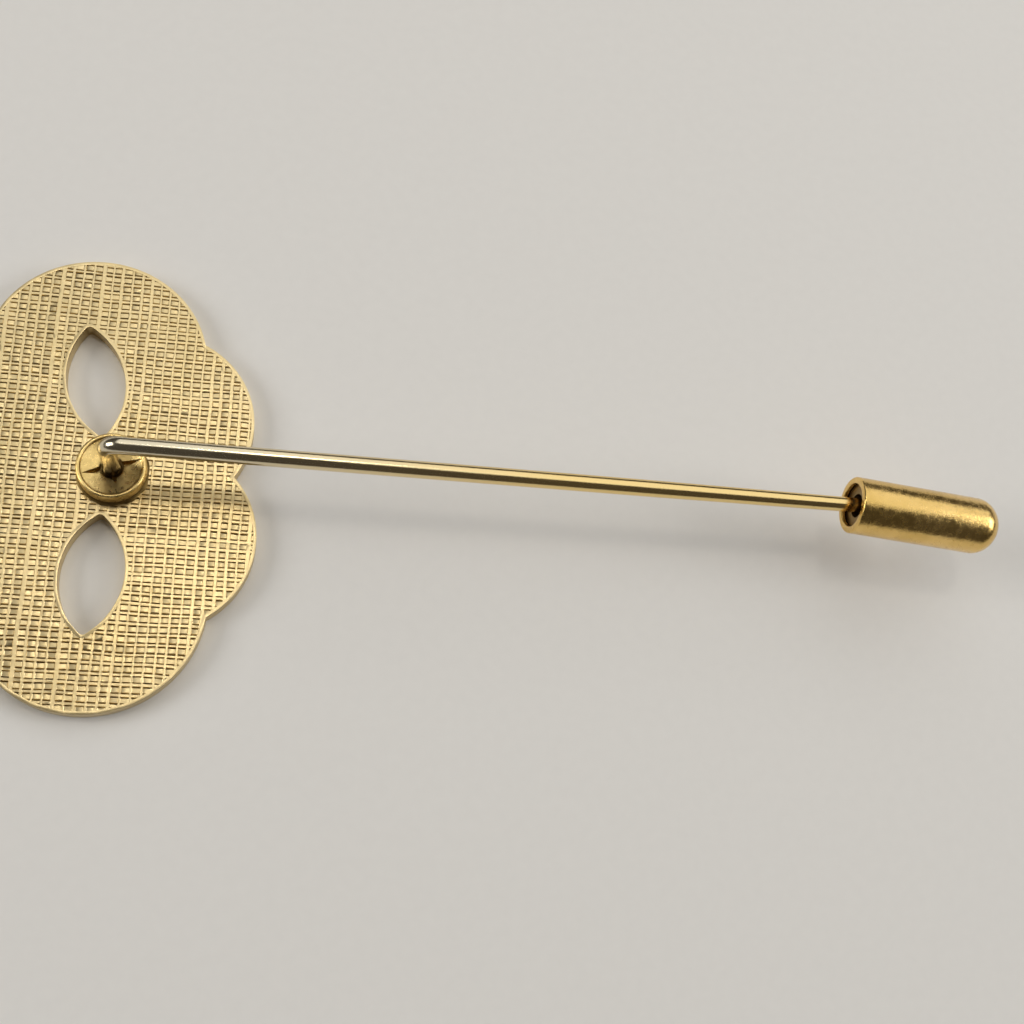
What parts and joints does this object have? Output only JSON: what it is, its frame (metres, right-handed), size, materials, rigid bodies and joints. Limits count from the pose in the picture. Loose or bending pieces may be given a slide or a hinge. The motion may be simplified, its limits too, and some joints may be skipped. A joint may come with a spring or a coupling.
{
  "type": "stick pin",
  "caption": "Stick pin with a scalloped, pierced enamelled head, a long bent needle soldered to its back, and a bullet-shaped end protector that pulls off the point.",
  "frame": {"origin": "on the front face of the head, in line with the axis of the pad and the needle's foot", "axes": "+Z out of the back of the head, +X along the needle to its point, +Y across the head"},
  "size_m": [0.0679, 0.03, 0.0083],
  "materials": {
    "head_metal": "gold-plated stamped brass, hatched on the back, polished on the front",
    "enamel_side": "soft enamel, glossy",
    "enamel_lower": "soft enamel, glossy",
    "enamel_top": "soft enamel, glossy",
    "pad_metal": "gold-plated pressed brass, polished",
    "solder": "plated solder, dull and dark",
    "needle_wire": "gold-plated steel wire, polished",
    "spring_metal": "phosphor bronze strip, dull",
    "cap_metal": "gold-plated drawn brass, polished"
  },
  "bodies": {
    "pin": {"badge_plate": "head_metal", "enamel_side_left": "enamel_side", "enamel_side_right": "enamel_side", "enamel_lower_left": "enamel_lower", "enamel_lower_right": "enamel_lower", "enamel_top": "enamel_top", "pin_pad": "pad_metal", "pad_solder": "solder", "needle": "needle_wire", "foot_braze": "solder"},
    "grip": {"grip_sleeve": "spring_metal"},
    "cap": {"cap_shell": "cap_metal"}
  },
  "joints": [
    {"name": "cap_slide", "type": "slide", "parent": "pin", "child": "grip", "axis": [1, 0, 0], "range_m": [0, 0.012]},
    {"name": "cap_spin", "type": "hinge", "parent": "grip", "child": "cap", "pos_m": [0.0478, 0, 0.0064], "axis": [0.9965, -0.0802, -0.0244], "continuous": true}
  ]
}
